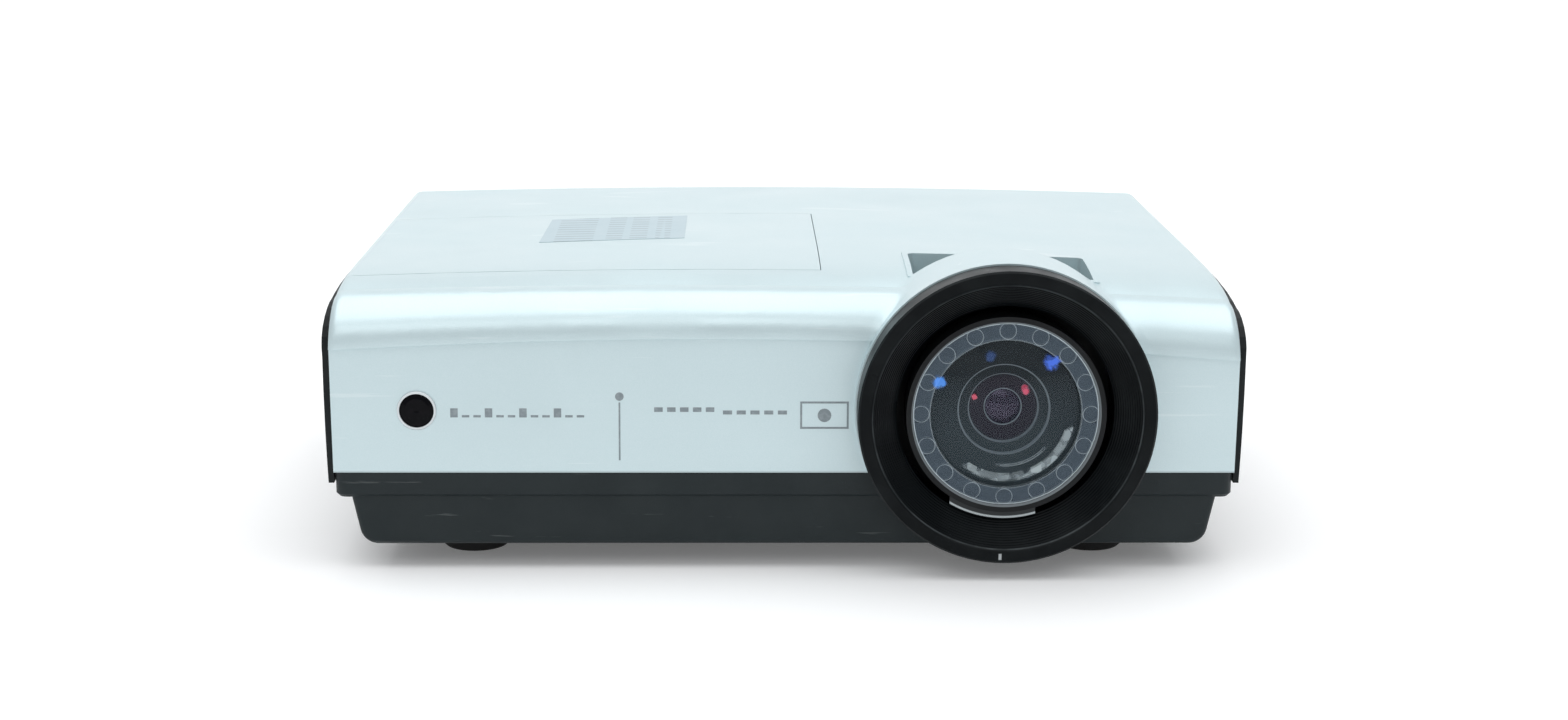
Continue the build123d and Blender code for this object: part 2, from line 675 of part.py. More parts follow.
def lamp_reflector():
    outline = [(6.0, -108), (8.0, -108)]
    for index in range(9):
        x = -100 + 5.5 * index
        outline.append((8.0 + 17.0 * math.sqrt((x + 100) / 44), x))
    outline += [(27.2, -56), (27.2, -53.5), (24.2, -53.5)]
    for index in range(8, -1, -1):
        x = -98 + 5.4 * index
        outline.append((6.0 + 17.0 * math.sqrt((x + 98) / 44), x))
    shell = revolve(make_face(Polyline([(r, x) for r, x in outline], close=True)), Axis.Y)
    return Pos(0, at(LAMP_DEPTH), LAMP_Z) * Rot(0, 0, -90) * shell


def lamp_burner():
    burner = rod_x(LAMP_DEPTH, LAMP_Z, 2.6, -112, -62)
    bulb = Pos(-84, at(LAMP_DEPTH), LAMP_Z) * Sphere(5.2)
    cap = rod_x(LAMP_DEPTH, LAMP_Z, 5.9, -114, -104)
    return burner + bulb + cap


def lamp_connector():
    plug = block(-100, -76, 152.2, 162, 30, 46)
    return plug - block(-97, -79, 158, 163, 34, 42)


# ---- electronics ----
def main_board():
    board = block(-122, 94, 174, 225, BOARD_Z, BOARD_Z + 1.6)
    for x, depth in ((-60, 192), (-20, 190), (30, 194)):
        board += block(x - 12, x + 12, depth - 10, depth + 10, BOARD_Z + 1.6, BOARD_Z + 4.2)
    for x in (-110, 84):
        board += rod_z(x, 200, 3.0, 38.2, BOARD_Z)
    return board


def power_supply():
    supply = block(14, 110, 174, 206, 13, 14.6) + block(20, 52, 178, 202, 14.6, 36)
    for x, depth in ((64, 184), (64, 196), (80, 190), (96, 184)):
        supply += rod_z(x, depth, 4.8, 14.6, 34)
    return supply + block(16, 108, 176, 204, 11.5, 13)


def lamp_ballast():
    case = block(-120, -14, 174, 222, 11.5, 37) - block(-118, -16, 176, 220, 13.5, 38)
    board = block(-116, -18, 178, 218, 16, 17.6)
    legs = block(-100, -90, 190, 200, 13.5, 16) + block(-40, -30, 190, 200, 13.5, 16)
    coil = block(-90, -66, 186, 210, 17.6, 33)
    return case + board + legs + coil


def speaker():
    cone = rod_x(84, 44, 18, 128, 140) - rod_x(84, 44, 15, 134, 141)
    return cone + block(126, 134, 72, 96, 11.5, 30)


# ---- fans: a square frame or case, and a bladed rotor on its hub ----
def fan_frame(x0, x1, depth, z, size):
    frame = block(x0, x1, depth - size / 2, depth + size / 2, z - size / 2, z + size / 2)
    frame -= rod_x(depth, z, size / 2 - 2.2, x0 - 1, x1 + 1)
    frame += rod_x(depth, z, size * 0.2, x0, x0 + 2)
    spoke = block(x0, x0 + 2, depth - 2, depth + 2, z - size / 2 + 1, z + size / 2 - 1)
    frame += spoke + rod_x(depth, z, 1.5, x0, x0 + 9)
    return frame


def fan_rotor(x0, x1, depth, z, size):
    hub_r = size * 0.2
    rotor = rod_x(depth, z, hub_r, x0 + 2.6, x1 - 1)
    middle = (x0 + x1) / 2 + 0.6
    tip_r = size / 2 - 3.4
    for index in range(7):
        blade = Rot(0, 0, 38) * Box(1.4, 11, tip_r - hub_r + 1)
        blade = Pos(0, 0, (tip_r + hub_r) / 2 - 0.5) * blade
        rotor += Pos(middle, at(depth), z) * Rot(360 / 7 * index, 0, 0) * blade
    rotor &= rod_x(depth, z, tip_r, x0 + 2.6, x1 - 1)
    return rotor - rod_x(depth, z, 1.57, x0, x0 + 9.6)


def blower_case():
    case = block(-72, -24, 8, 56, 13, 38) - block(-70, -26, 10, 57, 15, 36)
    case -= rod_z(-48, 32, 14, 34, 40)
    return case + rod_z(-48, 32, 1.5, 14, 24) + block(-60, -36, 20, 44, 11.5, 13)


def blower_impeller():
    impeller = rod_z(-48, 32, 19, 17, 34) - rod_z(-48, 32, 15.5, 18.5, 35)
    impeller += rod_z(-48, 32, 6, 17, 30)
    vane = Pos(17.3, 0, 27) * Rot(0, 0, 35) * Box(6, 3.0, 16)
    for index in range(16):
        impeller -= Pos(-48, at(32), 0) * Rot(0, 0, 22.5 * index) * vane
    return impeller - rod_z(-48, 32, 1.57, 14, 25)


# ---- back of the case ----
def mains_inlet():
    inlet = block(INLET_X - 13.8, INLET_X + 13.8, 206, 229.4, INLET_Z - 10, INLET_Z + 10)
    inlet -= block(INLET_X - 12.2, INLET_X + 12.2, 213, 230, INLET_Z - 8.2, INLET_Z + 8.2)
    for dx, dz in ((-7, -1.6), (7, -1.6), (0, 2.6)):
        x, z = INLET_X + dx, INLET_Z + dz
        inlet += block(x - 1, x + 1, 212, 226, z - 2, z + 2)
    return inlet + block(INLET_X - 12, INLET_X + 12, 208, 224, 11.5, INLET_Z - 10)


def vga_port(x):
    port = block(x - 15.4, x + 15.4, 212, 228.2, PORT_Z - 6.2, PORT_Z + 6.2)
    port += block(x - 8.3, x + 8.3, 228, 229.8, PORT_Z - 4, PORT_Z + 4)
    for side in (-12.5, 12.5):
        port += rod_y(x + side, PORT_Z, 2.4, 228, 229.8)
    for row, count in ((-2, 5), (0, 5), (2, 5)):
        for index in range(count):
            port -= rod_y(x - 4.6 + 2.3 * index, PORT_Z + row, 0.5, 224, 231)
    return port + block(x - 10, x + 10, 213, 226, BOARD_Z + 1.6, PORT_Z - 6)


def vga_ports():
    return Compound(children=[vga_port(x) for x in VGA_X])


def hdmi_port():
    port = block(HDMI_X - 7.6, HDMI_X + 7.6, 214, 229.6, PORT_Z - 3, PORT_Z + 3)
    port -= block(HDMI_X - 7, HDMI_X + 7, 220, 230, PORT_Z - 2.4, PORT_Z + 2.4)
    port += block(HDMI_X - 5.5, HDMI_X + 5.5, 219, 228.4, PORT_Z - 0.4, PORT_Z + 0.8)
    return port + block(HDMI_X - 6, HDMI_X + 6, 215, 226, BOARD_Z + 1.6, PORT_Z - 3)


def usb_port():
    port = block(USB_X - 6.1, USB_X + 6.1, 214, 229.6, PORT_Z - 5.5, PORT_Z + 5.5)
    port -= block(USB_X - 4.3, USB_X + 4.3, 220, 230, PORT_Z - 3.9, PORT_Z + 3.9)
    port += block(USB_X - 2.8, USB_X + 2.8, 219, 228.4, PORT_Z - 1.6, PORT_Z + 1.6)
    return port + block(USB_X - 5, USB_X + 5, 215, 226, BOARD_Z + 1.6, PORT_Z - 5.4)


def lan_port():
    port = block(LAN_X - 8.1, LAN_X + 8.1, 210, 229.6, PORT_Z - 6.8, PORT_Z + 6.8)
    port -= block(LAN_X - 6, LAN_X + 6, 214, 230, PORT_Z - 4.6, PORT_Z + 3.6)
    port -= block(LAN_X - 3, LAN_X + 3, 214, 230, PORT_Z + 3, PORT_Z + 5.4)
    return port + block(LAN_X - 7, LAN_X + 7, 211, 226, BOARD_Z + 1.6, PORT_Z - 6.6)


def rca_jack(x):
    jack = block(x - 5, x + 5, 214, 226.6, BOARD_Z + 1.6, PORT_Z + 5)
    jack += rod_y(x, PORT_Z, JACK_R, 226, 229.8)
    jack -= rod_y(x, PORT_Z, 1.6, 219, 231)
    return jack


def rca_jacks():
    return Compound(children=[rca_jack(x) for x in JACK_X])


def rear_ir_window():
    window = rod_y(REAR_IR_X, PORT_Z, IR_R, 224, 229.4)
    return window + rod_y(REAR_IR_X, PORT_Z, IR_R + 1.5, 224, 226.6)


def status_leds():
    leds = []
    for x in LED_X:
        tip = Pos(x, at(228.2), LED_Z) * Sphere(1.5)
        leds.append(tip + rod_y(x, LED_Z, 1.5, KEYBOARD_DEPTH + 1.6, 228.2))
    return Compound(children=leds)


def keypad_board():
    back = KEYBOARD_DEPTH + 1.6
    board = block(-72, 50, KEYBOARD_DEPTH, back, 62, 84)
    for x in BUTTON_X.values():
        board += block(x - 3, x + 3, back, back + 2.6, BUTTON_Z - 3, BUTTON_Z + 3)
    for x in (-69, 47):
        board += block(x - 2.5, x + 2.5, back, PANEL_INNER, 66, 82)
    return board


def button(x):
    cap = rod_y(x, BUTTON_Z, BUTTON_R, 223, 229.9) + rod_y(x, BUTTON_Z, BUTTON_R + 1.2, 223, 224.6)
    stem = rod_y(x, BUTTON_Z, 1.6, KEYBOARD_DEPTH + 5.5, 223)
    return fillet(cap.edges().group_by(Axis.Y)[-1], 0.6) + stem


# ---- feet ----
def foot_pad(x, depth):
    pad = rod_z(x, depth, 12, 0, 3.4)
    pad = chamfer(pad.edges().group_by(Axis.Z)[0], 0.8)
    return pad + rod_z(x, depth, 3.0, 3.4, 6.0)


def foot_screw(x, depth):
    wheel = rod_z(x, depth, WHEEL_R, 3.7, 8.5)
    notch = Pos(WHEEL_R, 0, 6) * Box(1.6, 1.8, 6)
    wheel -= [Pos(x, at(depth), 0) * Rot(0, 0, 15 * index) * notch for index in range(24)]
    stud = rod_z(x, depth, STUD_R, 8.5, 36)
    return wheel + stud - rod_z(x, depth, 3.07, 3, 6.3)


def build():
    right_fan = (131, 146, 148, 44, 60)
    left_fan = (131, 146, 120, 48, 68)
    parts = {
        "top_cover": top_cover(),
        "lamp_door": lamp_door(),
        "door_screw": door_screw(),
        "door_label": door_label(),
        "base_tray": base_tray(),
        "left_side_panel": left_side_panel(),
        "right_side_panel": right_side_panel(),
        "rear_panel": rear_panel(),
        "cover_screws": cover_screws(),
        "ir_window": ir_window(),
        "ir_bezel": ir_bezel(),
        "lens_hood": lens_hood(),
        "focus_sleeve": focus_sleeve(),
        "lens_tube": lens_tube(),
        "lens_cell": lens_cell(),
        "front_lens": front_lens(),
        "inner_barrel": inner_barrel(),
        "centre_lens": centre_lens(),
        "retaining_arc": retaining_arc(),
        "rear_lens": rear_lens(),
        "light_engine_case": light_engine_case(),
        "light_tunnel": light_tunnel(),
        "colour_wheel": colour_wheel(),
        "colour_wheel_motor": colour_wheel_motor(),
        "dmd_board": dmd_board(),
        "dmd_heat_sink": dmd_heat_sink(),
        "lamp_housing": lamp_housing(),
        "lamp_reflector": lamp_reflector(),
        "lamp_burner": lamp_burner(),
        "lamp_connector": lamp_connector(),
        "main_board": main_board(),
        "power_supply": power_supply(),
        "lamp_ballast": lamp_ballast(),
        "speaker": speaker(),
        "intake_fan_frame": fan_frame(*right_fan),
        "intake_fan_rotor": fan_rotor(*right_fan),
        "exhaust_fan_frame": mirror(fan_frame(*left_fan), Plane.YZ),
        "exhaust_fan_rotor": mirror(fan_rotor(*left_fan), Plane.YZ),
        "blower_case": blower_case(),
        "blower_impeller": blower_impeller(),
        "mains_inlet": mains_inlet(),
        "vga_ports": vga_ports(),
        "hdmi_port": hdmi_port(),
        "usb_port": usb_port(),
        "lan_port": lan_port(),
        "rca_jacks": rca_jacks(),
        "rear_ir_window": rear_ir_window(),
        "status_leds": status_leds(),
        "keypad_board": keypad_board(),
    }
    for name, x in BUTTON_X.items():
        parts[name + "_button"] = button(x)
    for name, (x, depth) in FOOT_PLACES.items():
        parts[name + "_foot_pad"] = foot_pad(x, depth)
        parts[name + "_foot_screw"] = foot_screw(x, depth)
    return parts


def main():
    os.makedirs("parts", exist_ok=True)
    for name, shape in build().items():
        export_step(shape, f"parts/{name}.step")


main()
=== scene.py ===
"""Looks for a short-throw data projector: materials, small printed marks, stage, lights, camera."""

import math

import bmesh
import bpy
from mathutils import Euler, Matrix, Vector


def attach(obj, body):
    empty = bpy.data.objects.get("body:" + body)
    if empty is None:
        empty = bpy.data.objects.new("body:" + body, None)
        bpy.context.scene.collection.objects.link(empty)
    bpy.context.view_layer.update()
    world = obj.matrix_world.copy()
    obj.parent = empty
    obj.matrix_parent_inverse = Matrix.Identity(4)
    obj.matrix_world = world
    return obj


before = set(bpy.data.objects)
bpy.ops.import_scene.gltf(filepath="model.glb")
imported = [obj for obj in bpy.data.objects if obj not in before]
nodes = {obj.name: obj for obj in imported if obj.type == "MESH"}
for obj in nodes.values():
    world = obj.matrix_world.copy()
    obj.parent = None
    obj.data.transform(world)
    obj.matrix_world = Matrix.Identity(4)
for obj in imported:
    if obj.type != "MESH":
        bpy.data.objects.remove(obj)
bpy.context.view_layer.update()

# ---- camera: from the front, a little above ----
CAMERA_PLACE = Vector((-0.0196, -0.9632, 0.2695))
CAMERA_DOWN = 12.74          # degrees below the horizon
CAMERA_TURN = 1.26           # degrees toward +X
CAMERA_ROLL = 0.34
LENS_MM = 57.97


def make_camera():
    data = bpy.data.cameras.new("camera")
    data.lens = LENS_MM
    data.sensor_width = 36.0
    data.clip_start = 0.01
    camera = bpy.data.objects.new("camera", data)
    bpy.context.scene.collection.objects.link(camera)
    angles = (math.radians(90 - CAMERA_DOWN), 0, math.radians(-CAMERA_TURN))
    aim = Euler(angles).to_matrix().to_4x4()
    roll = Matrix.Rotation(math.radians(CAMERA_ROLL), 4, "Z")
    camera.matrix_world = Matrix.Translation(CAMERA_PLACE) @ aim @ roll
    bpy.context.scene.camera = camera


# ---- places that the markings and the painted highlights follow, in metres ----
LENS_X, LENS_Z = 0.0763, 0.0583
FACE_Y = -0.108              # bottom edge of the leaning front face
FACE_FOOT_Z = 0.0356
FACE_LEAN = 0.0025 / 0.0418
REAR_PANEL_Y = 0.121
PRINT_LIFT = 0.00006         # how far printed marks stand off their surface
NOTCH_COUNT = 16             # round notches in the lens flange
NOTCH_CIRCLE = 0.0296        # their distance from the lens axis

# glints in the lens coating: across, up, size, amount, colour
GLINTS = [
    (-0.0235, 0.0112, 0.0026, 0.9, (0.07, 0.3, 0.95)),
    (0.0156, 0.0187, 0.0028, 0.9, (0.08, 0.2, 0.95)),
    (-0.0060, 0.0207, 0.0022, 0.5, (0.06, 0.13, 0.4)),
    (0.0064, 0.0092, 0.0018, 0.8, (0.8, 0.07, 0.14)),
    (-0.0114, 0.0066, 0.0012, 0.8, (0.75, 0.06, 0.1)),
]


# ---- material helpers ----
class Paint:
    """A material under construction: a Principled shader and the nodes that feed it."""

    def __init__(self, name, colour, rough, metal=0.0, **extra):
        self.material = bpy.data.materials.new(name)
        self.material.use_nodes = True
        self.tree = self.material.node_tree
        self.shader = self.tree.nodes["Principled BSDF"]
        self.colour = (*colour, 1.0)
        self.shader.inputs["Base Color"].default_value = self.colour
        self.shader.inputs["Roughness"].default_value = rough
        self.shader.inputs["Metallic"].default_value = metal
        for key, value in extra.items():
            self.shader.inputs[key.replace("_", " ")].default_value = value
        self.place = self.node("ShaderNodeTexCoord").outputs["Object"]
        self.height = None

    def node(self, kind, **values):
        made = self.tree.nodes.new(kind)
        for key, value in values.items():
            setattr(made, key, value)
        return made

    def join(self, source, target):
        self.tree.links.new(source, target)

    def noise(self, scale, detail=2.0, rough=0.5, stretch=None):
        made = self.node("ShaderNodeTexNoise")
        made.inputs["Scale"].default_value = scale
        made.inputs["Detail"].default_value = detail
        made.inputs["Roughness"].default_value = rough
        source = self.place
        if stretch:
            mapping = self.node("ShaderNodeMapping")
            mapping.inputs["Scale"].default_value = stretch
            self.join(self.place, mapping.inputs["Vector"])
            source = mapping.outputs["Vector"]
        self.join(source, made.inputs["Vector"])
        return made.outputs["Fac"]

    def cells(self, scale, feature="F1"):
        made = self.node("ShaderNodeTexVoronoi", feature=feature)
        made.inputs["Scale"].default_value = scale
        self.join(self.place, made.inputs["Vector"])
        return made

    def remap(self, value, low, high, to_low, to_high):
        made = self.node("ShaderNodeMapRange", clamp=True)
        ends = (("From Min", low), ("From Max", high), ("To Min", to_low), ("To Max", to_high))
        for key, number in ends:
            made.inputs[key].default_value = number
        self.join(value, made.inputs["Value"])
        return made.outputs["Result"]

    def maths(self, operation, first, second):
        made = self.node("ShaderNodeMath", operation=operation)
        for index, value in enumerate((first, second)):
            if isinstance(value, (int, float)):
                made.inputs[index].default_value = value
            else:
                self.join(value, made.inputs[index])
        return made.outputs["Value"]

    def across(self, axis, centre=0.0):
        """Distance along X, Y or Z from a centre."""
        parts = self.node("ShaderNodeSeparateXYZ")
        self.join(self.place, parts.inputs["Vector"])
        return self.maths("SUBTRACT", parts.outputs[axis], centre)

    def reach(self, x, z):
        """Distance from a front-to-back axis at x, z."""
        dx, dz = self.across("X", x), self.across("Z", z)
        squares = self.maths("ADD", self.maths("MULTIPLY", dx, dx), self.maths("MULTIPLY", dz, dz))
        return self.maths("SQRT", squares, 0.0)

    def between(self, value, low, high, soft=0.00008):
        rise = self.remap(value, low - soft, low + soft, 0.0, 1.0)
        fall = self.remap(value, high - soft, high + soft, 1.0, 0.0)
        return self.maths("MULTIPLY", rise, fall)

    def patch(self, x0, x1, z0, z1, soft=0.0001):
        """A rectangle seen from the front."""
        wide = self.between(self.across("X"), x0, x1, soft)
        return self.maths("MULTIPLY", wide, self.between(self.across("Z"), z0, z1, soft))

    def tint(self, factor, colour):
        """Mix another colour over the base where factor is high."""
        made = self.node("ShaderNodeMix", data_type="RGBA")
        made.inputs["B"].default_value = (*colour, 1.0)
        colour_in = self.shader.inputs["Base Color"]
        if colour_in.links:
            self.join(colour_in.links[0].from_socket, made.inputs["A"])
        else:
            made.inputs["A"].default_value = self.colour
        self.join(factor, made.inputs["Factor"])
        self.join(made.outputs["Result"], colour_in)

    def vary_rough(self, factor, low, high):
        self.join(self.remap(factor, 0.3, 0.7, low, high), self.shader.inputs["Roughness"])

    def bump(self, height, strength, depth):
        """Stack one more layer of relief. depth is in metres."""
        made = self.node("ShaderNodeBump")
        made.inputs["Strength"].default_value = strength
        made.inputs["Distance"].default_value = depth
        self.join(height, made.inputs["Height"])
        normal_in = self.shader.inputs["Normal"]
        if normal_in.links:
            self.join(normal_in.links[0].from_socket, made.inputs["Normal"])
        self.join(made.outputs["Normal"], normal_in)

    def specks(self, scale, size, colour):
        """Sparse dots of dust."""
        cells = self.cells(scale)
        near = self.remap(cells.outputs["Distance"], size * 0.6, size, 1.0, 0.0)
        pick = self.remap(cells.outputs["Color"], 0.86, 0.88, 0.0, 1.0)
        self.tint(self.maths("MULTIPLY", near, pick), colour)


# ---- materials ----
def silver_paint():
    paint = Paint("silver_paint", (0.565, 0.695, 0.72), 0.36, 0.5, Coat_Weight=0.2, Coat_Roughness=0.2)
    flakes = paint.cells(5200)
    paint.tint(paint.remap(flakes.outputs["Color"], 0.0, 1.0, 0.0, 0.28), (0.77, 0.84, 0.87))
    smudge = paint.remap(paint.noise(14, 5, 0.6), 0.52, 0.72, 0.0, 0.16)
    paint.tint(smudge, (0.5, 0.6, 0.62))
    scuff = paint.remap(paint.noise(60, 3, 0.6, stretch=(0.2, 1, 6)), 0.66, 0.7, 0.0, 0.18)
    paint.tint(scuff, (0.9, 0.95, 0.96))
    foot_edge = paint.between(paint.across("Z"), 0.0352, 0.0362)
    paint.tint(paint.maths("MULTIPLY", foot_edge, 0.35), (0.25, 0.3, 0.31))
    paint.vary_rough(paint.noise(26, 4), 0.3, 0.42)
    paint.bump(paint.noise(900, 2), 0.05, 0.0002)
    paint.bump(flakes.outputs["Distance"], 0.03, 0.0001)
    return paint.material


def black_grain():
    paint = Paint("black_grain", (0.0105, 0.0165, 0.0185), 0.5, Specular_IOR_Level=0.26)
    paint.tint(paint.remap(paint.noise(45, 5), 0.4, 0.75, 0.0, 0.4), (0.02, 0.028, 0.03))
    rub = paint.remap(paint.noise(90, 4, 0.65, stretch=(0.25, 1, 5)), 0.66, 0.7, 0.0, 0.5)
    paint.tint(rub, (0.09, 0.1, 0.1))
    paint.vary_rough(paint.noise(60, 4), 0.42, 0.56)
    paint.bump(paint.noise(2600, 3, 0.6), 0.35, 0.00012)
    paint.specks(120, 0.05, (0.25, 0.27, 0.27))
    return paint.material


def smooth_black(name, rough, colour=(0.006, 0.0085, 0.0095), shine=0.2, grain=0.12):
    paint = Paint(name, colour, rough, Specular_IOR_Level=shine)
    paint.tint(paint.remap(paint.noise(70, 5), 0.45, 0.8, 0.0, 0.5), (0.014, 0.017, 0.018))
    paint.vary_rough(paint.noise(90, 4), rough - 0.07, rough + 0.08)
    paint.bump(paint.noise(1800, 2), grain, 0.00008)
    return paint


def hood_black():
    """Satin black, with painted highlights along the mouth's and the outside's edges, and an index tick.
    """
    paint = smooth_black("hood_black", 0.34, (0.003, 0.0042, 0.005), 0.09)
    away = paint.reach(LENS_X, LENS_Z)
    highlight_breakup = paint.remap(paint.noise(160, 4), 0.35, 0.65, 0.4, 1.0)
    # painted highlights: pale lines along the mouth's edge and the outer edge, broken up by noise
    for low, high, amount in ((0.0466, 0.0470, 0.25), (0.0512, 0.0520, 0.06)):
        edge = paint.maths("MULTIPLY", paint.between(away, low, high, 0.00012), amount)
        paint.tint(paint.maths("MULTIPLY", edge, highlight_breakup), (0.22, 0.25, 0.26))
    tick = paint.patch(LENS_X - 0.0022, LENS_X - 0.0012, LENS_Z - 0.0504, LENS_Z - 0.0482)
    paint.tint(paint.maths("MULTIPLY", tick, 0.8), (0.5, 0.53, 0.54))
    return paint.material


def cell_black():
    """The lens cell: black, with a painted highlight along the lip where it is rolled over the glass."""
    paint = smooth_black("cell_black", 0.4, (0.005, 0.006, 0.007), 0.2)
    away = paint.reach(LENS_X, LENS_Z)
    # painted highlight: a thin pale ring along the lip
    lip = paint.between(away, 0.0323, 0.0330, 0.0001)
    paint.tint(paint.maths("MULTIPLY", lip, 0.3), (0.55, 0.62, 0.66))
    return paint.material


def barrel_black():
    """Inside of the lens: nearly black baffles, painted light below, painted highlights on their edges,
    violet in the middle.
    """
    paint = smooth_black("barrel_black", 0.42, (0.006, 0.009, 0.011), 0.22, 0.0)
    away = paint.reach(LENS_X, LENS_Z)
    # painted light: the lower side of the inside is paler, fading towards the top
    painted_light_low_side = paint.remap(paint.across("Z", LENS_Z), -0.026, 0.014, 1.0, 0.15)
    paint.tint(paint.maths("MULTIPLY", painted_light_low_side, 0.8), (0.06, 0.083, 0.092))
    paint.tint(paint.remap(away, 0.011, 0.013, 0.85, 0.0), (0.02, 0.011, 0.022))
    # painted highlights: pale rings on the baffle edges and round the centre lens
    for low, high, amount in ((0.0157, 0.0163, 0.7), (0.0120, 0.0125, 0.7), (0.0062, 0.0067, 0.9)):
        ring = paint.between(away, low, high, 0.0001)
        paint.tint(paint.maths("MULTIPLY", ring, amount), (0.3, 0.36, 0.4))
    return paint.material


def arc_metal():
    """Blackened metal with a painted highlight along its outer edge."""
    paint = smooth_black("arc_metal", 0.35, (0.02, 0.024, 0.026), 0.3)
    away = paint.reach(LENS_X, LENS_Z)
    # painted highlight: a pale line along the outer edge
    bright = paint.between(away, 0.0366, 0.0373, 0.00012)
    paint.tint(paint.maths("MULTIPLY", bright, 0.8), (0.6, 0.66, 0.68))
    return paint.material


def window_gloss():
    paint = Paint("window_gloss", (0.002, 0.002, 0.003), 0.08, Specular_IOR_Level=0.08)
    paint.tint(paint.remap(paint.noise(300, 4), 0.5, 0.8, 0.0, 0.3), (0.012, 0.008, 0.012))
    paint.vary_rough(paint.noise(200, 4), 0.06, 0.13)
    paint.bump(paint.noise(500, 2), 0.02, 0.00003)
    return paint.material


def glass_tint(paint, factor, colour, keep):
    """Make the glass show a colour of its own where factor is high, and let keep of the light by."""
    paint.tint(factor, colour)
    clear = paint.remap(factor, 0.0, 1.0, 1.0, keep)
    socket = paint.shader.inputs["Alpha"]
    if socket.links:
        before = paint.maths("SUBTRACT", 1.0, socket.links[0].from_socket)
    else:
        before = 1 - socket.default_value
    paint.join(paint.maths("SUBTRACT", 1.0, paint.maths("MULTIPLY", clear, before)), socket)


def front_glass():
    """The coated dome and its notched flange, with the coating's blue and red glints."""
    paint = Paint("front_glass", (0.012, 0.018, 0.021), 0.02, Alpha=0.1, Specular_IOR_Level=1.0)
    paint.shader.inputs["Specular Tint"].default_value = (0.6, 0.78, 1.0, 1.0)
    away = paint.reach(LENS_X, LENS_Z)
    across, up = paint.across("X", LENS_X), paint.across("Z", LENS_Z)
    flange = paint.remap(away, 0.0262, 0.0266, 0.0, 0.8)
    frost = paint.maths("MULTIPLY", flange, paint.remap(paint.noise(220, 4), 0.3, 0.7, 0.85, 1.0))
    glass_tint(paint, frost, (0.03, 0.038, 0.043), 0.0)
    # painted highlights: pale outlines round the flange's notches
    glass_tint(paint, notch_lines(paint, across, up, away), (0.6, 0.68, 0.7), 0.0)
    # painted highlights: a bright thin ring at the glass's rim and a fainter one at the flange's inner
    # edge
    for low, high, amount in ((0.0320, 0.0324, 0.9), (0.0263, 0.0266, 0.3)):
        line = paint.between(away, low, high, 0.0001)
        glass_tint(paint, paint.maths("MULTIPLY", line, amount), (0.75, 0.84, 0.86), 0.0)
    rough = paint.maths("ADD", paint.remap(away, 0.0262, 0.0266, 0.0, 0.12),
                        paint.remap(paint.noise(90, 4), 0.5, 0.8, 0.0, 0.01))
    paint.join(rough, paint.shader.inputs["Roughness"])
    for dx, dz, size, amount, colour in GLINTS:
        near = paint.reach(LENS_X + dx, LENS_Z + dz)
        fray = paint.remap(paint.noise(420, 1), 0.3, 0.7, -size * 0.3, size * 0.3)
        ragged = paint.maths("ADD", near, fray)
        spot = paint.remap(ragged, size * 0.5, size, amount, 0.0)
        glass_tint(paint, spot, colour, 0.0)
    # painted highlight: a pale arc on the lower right of the dome, broken into patches by cells
    arc = paint.between(away, 0.0213, 0.0239, 0.0002)
    lean = paint.maths("ADD", paint.maths("MULTIPLY", across, 0.34), paint.maths("MULTIPLY", up, -0.94))
    part = paint.maths("MULTIPLY", arc, paint.remap(lean, 0.0115, 0.0125, 0.0, 0.75))
    highlight_cells = paint.cells(270)
    highlight_patches = paint.remap(highlight_cells.outputs["Color"], 0.1, 0.8, 0.12, 1.0)
    glass_tint(paint, paint.maths("MULTIPLY", part, highlight_patches), (0.6, 0.68, 0.68), 0.0)
    # painted highlight: a fainter, thinner arc inside it
    inner_arc = paint.maths("MULTIPLY", paint.between(away, 0.0179, 0.0183, 0.0001),
                            paint.remap(lean, 0.0150, 0.0165, 0.0, 0.5))
    glass_tint(paint, inner_arc, (0.6, 0.68, 0.7), 0.0)
    return paint.material


def notch_lines(paint, across, up, away):
    """Painted highlights: thin pale outlines of the flange's sixteen round notches."""
    step = math.radians(360 / NOTCH_COUNT)
    turn = paint.maths("DIVIDE", paint.maths("ARCTAN2", up, across), step)
    wrapped = paint.maths("FRACT", paint.maths("ADD", turn, NOTCH_COUNT + 0.5), 0.0)
    folded = paint.maths("SUBTRACT", wrapped, 0.5)
    angle = paint.maths("MULTIPLY", folded, step)
    sideways = paint.maths("MULTIPLY", away, paint.maths("SINE", angle, 0.0))
    radial = paint.maths("MULTIPLY", away, paint.maths("COSINE", angle, 0.0))
    outward = paint.maths("SUBTRACT", radial, NOTCH_CIRCLE)
    squares = paint.maths("ADD", paint.maths("MULTIPLY", sideways, sideways),
                          paint.maths("MULTIPLY", outward, outward))
    ring = paint.between(paint.maths("SQRT", squares, 0.0), 0.00275, 0.00295, 0.00009)
    return paint.maths("MULTIPLY", ring, 0.55)


def clear_glass(name, tint, specular_tint, alpha=0.4, rough=0.12):
    paint = Paint(name, tint, rough, Alpha=alpha, Specular_IOR_Level=0.8)
    paint.shader.inputs["Specular Tint"].default_value = (*specular_tint, 1.0)
    streaks = paint.remap(paint.noise(150, 3), 0.4, 0.8, 0.0, 0.15)
    glass_tint(paint, streaks, tuple(1.4 * part for part in tint), 0.5)
    paint.vary_rough(paint.noise(120, 3), rough, rough + 0.02)
    return paint.material


